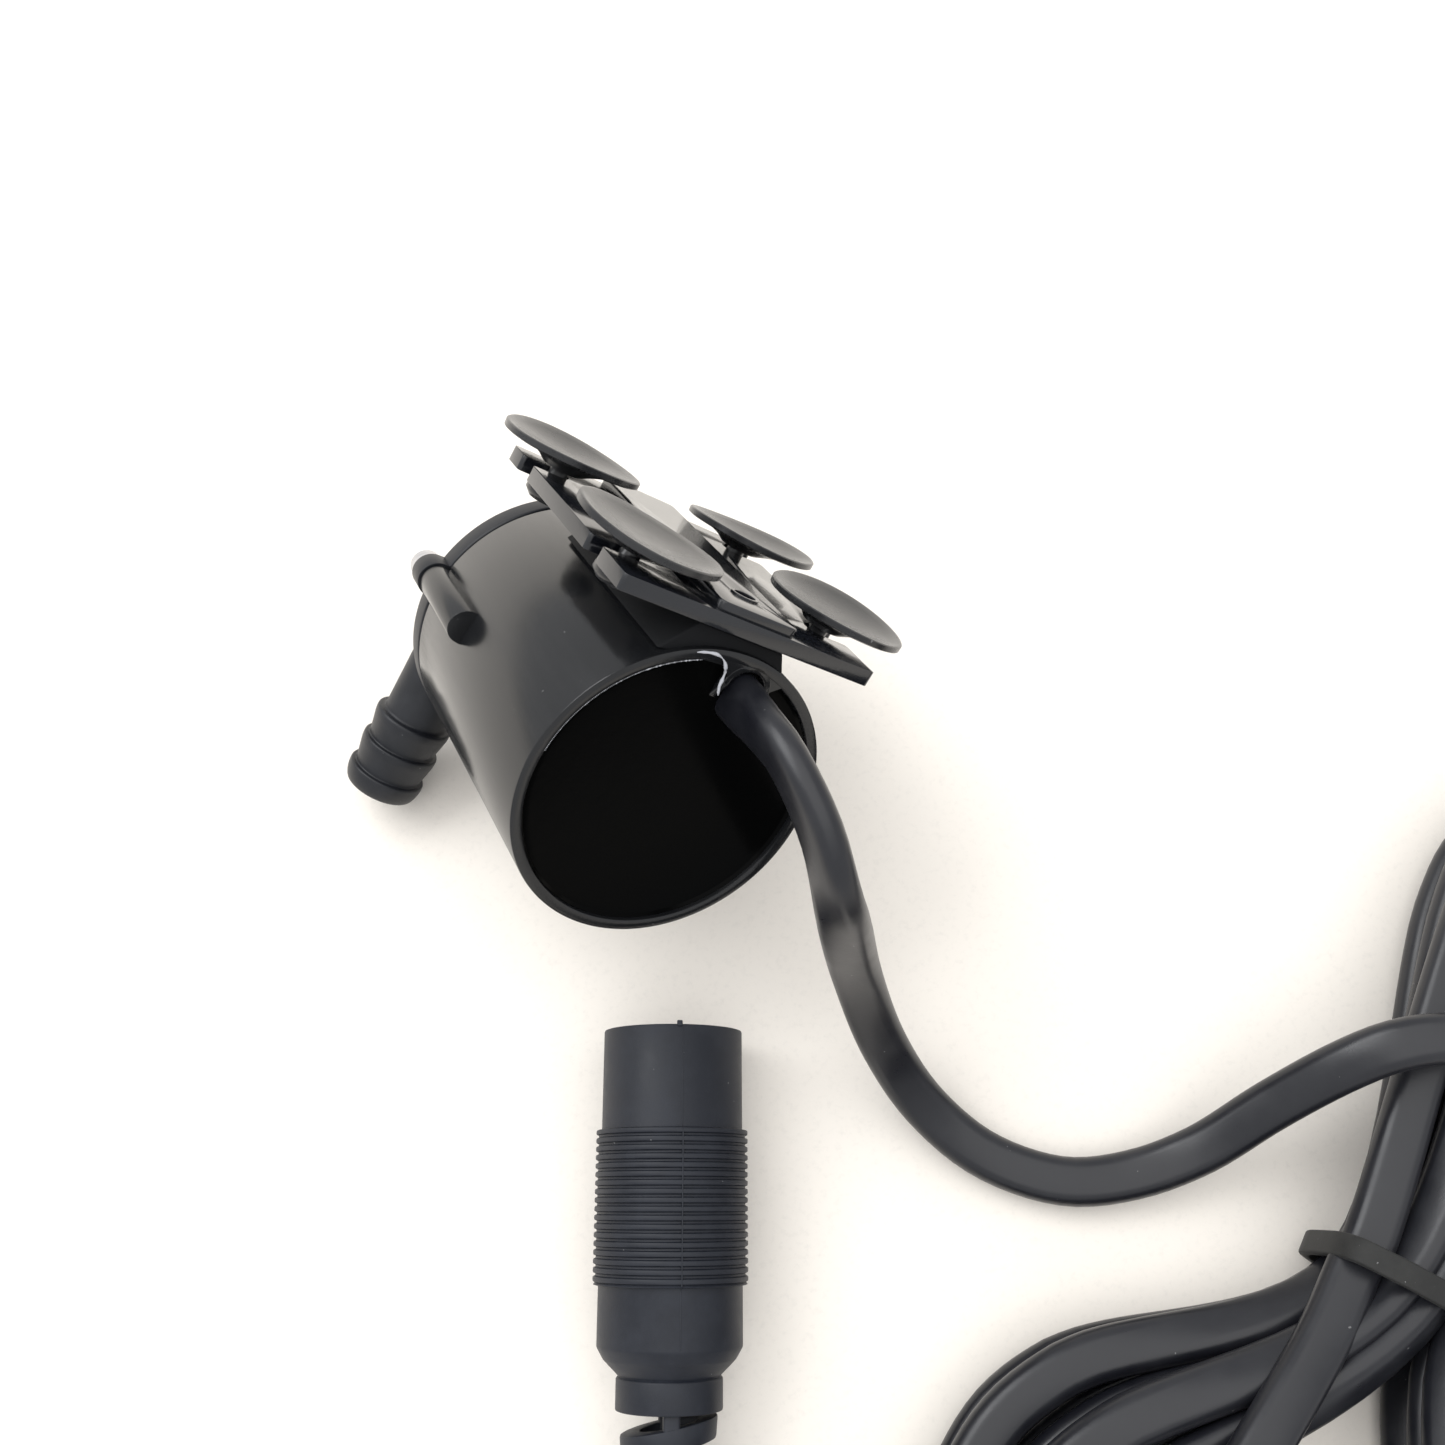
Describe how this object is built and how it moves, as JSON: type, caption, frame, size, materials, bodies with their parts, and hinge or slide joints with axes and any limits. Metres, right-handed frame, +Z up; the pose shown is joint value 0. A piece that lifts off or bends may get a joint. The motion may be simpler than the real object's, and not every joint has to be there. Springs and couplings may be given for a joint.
{
  "type": "submersible water pump",
  "caption": "Small black submersible water pump with a barbed hose outlet, a slotted suction-cup plate and a tied flat cord that ends in an in-line round connector.",
  "frame": {"origin": "bottom centre of the pump's bounding box, as it lies with the outlet barb's tip on the table; the cord, hank and connector are left out of the box", "axes": "+Z up from the table; the in-line connector lies along Y with its mouth towards +Y; the pump's own axis points up and towards +X and -Y at its cord end"},
  "size_m": [0.1728, 0.1473, 0.0559],
  "materials": {
    "housing_plastic": "semi-gloss moulded black",
    "cover_plastic": "semi-gloss moulded black",
    "plate_plastic": "glossy moulded black",
    "potting_epoxy": "poured epoxy, glossy with specks",
    "circuit_board": "solder resist",
    "chip_epoxy": "moulded epoxy",
    "stator_iron": "stacked sheet steel",
    "coil_copper": "enamelled copper wire",
    "rotor_ferrite": "plastic-bonded ferrite",
    "impeller_plastic": "moulded white",
    "ceramic": "ground ceramic",
    "bush_rubber": "soft black",
    "screw_steel": "stainless",
    "cup_rubber": "soft dark grey, satin, dusty",
    "cord_sheath": "satin black PVC sheath",
    "tie_rubber": "matte black strap",
    "connector_plastic": "satin moulded black",
    "insert_plastic": "moulded black",
    "contact_brass": "tinned brass"
  },
  "bodies": {
    "pump_body": {"coil_1": "coil_copper", "coil_2": "coil_copper", "coil_3": "coil_copper", "coil_4": "coil_copper", "connector_shell": "connector_plastic", "contact_pin": "contact_brass", "contact_sleeve": "contact_brass", "cord_hank": "cord_sheath", "cover_screw_1": "screw_steel", "cover_screw_2": "screw_steel", "cover_seal": "bush_rubber", "driver_board": "circuit_board", "driver_chip": "chip_epoxy", "front_bush": "bush_rubber", "hall_sensor": "chip_epoxy", "hank_tie": "tie_rubber", "inlet_strainer": "cover_plastic", "motor_housing": "housing_plastic", "pump_cover": "cover_plastic", "rear_bush": "bush_rubber", "rear_potting": "potting_epoxy", "rotor_shaft": "ceramic", "socket_insert": "insert_plastic", "stator_core": "stator_iron", "supply_cord": "cord_sheath", "tail_cord": "cord_sheath"},
    "rotor": {"rotor_magnet": "rotor_ferrite", "impeller": "impeller_plastic"},
    "plate": {"suction_plate": "plate_plastic"},
    "cup_1": {"suction_cup_1": "cup_rubber"},
    "cup_2": {"suction_cup_2": "cup_rubber"},
    "cup_3": {"suction_cup_3": "cup_rubber"},
    "cup_4": {"suction_cup_4": "cup_rubber"}
  },
  "joints": [
    {"name": "rotor_spin", "type": "hinge", "parent": "pump_body", "child": "rotor", "pos_m": [0.00026, 0.00065, 0.02353], "axis": [0.4125, -0.7203, 0.5577], "continuous": true},
    {"name": "plate_slide", "type": "slide", "parent": "pump_body", "child": "plate", "axis": [0.4125, -0.7203, 0.5577], "range_m": [0, 0.012]},
    {"name": "cup_1_slide", "type": "slide", "parent": "plate", "child": "cup_1", "axis": [-0.7667, 0.0561, 0.6395], "range_m": [0, 0.002]},
    {"name": "cup_2_slide", "type": "slide", "parent": "plate", "child": "cup_2", "axis": [-0.7667, 0.0561, 0.6395], "range_m": [0, 0.002]},
    {"name": "cup_3_slide", "type": "slide", "parent": "plate", "child": "cup_3", "axis": [0.7667, -0.0561, -0.6395], "range_m": [0, 0.002]},
    {"name": "cup_4_slide", "type": "slide", "parent": "plate", "child": "cup_4", "axis": [0.7667, -0.0561, -0.6395], "range_m": [0, 0.002]}
  ]
}
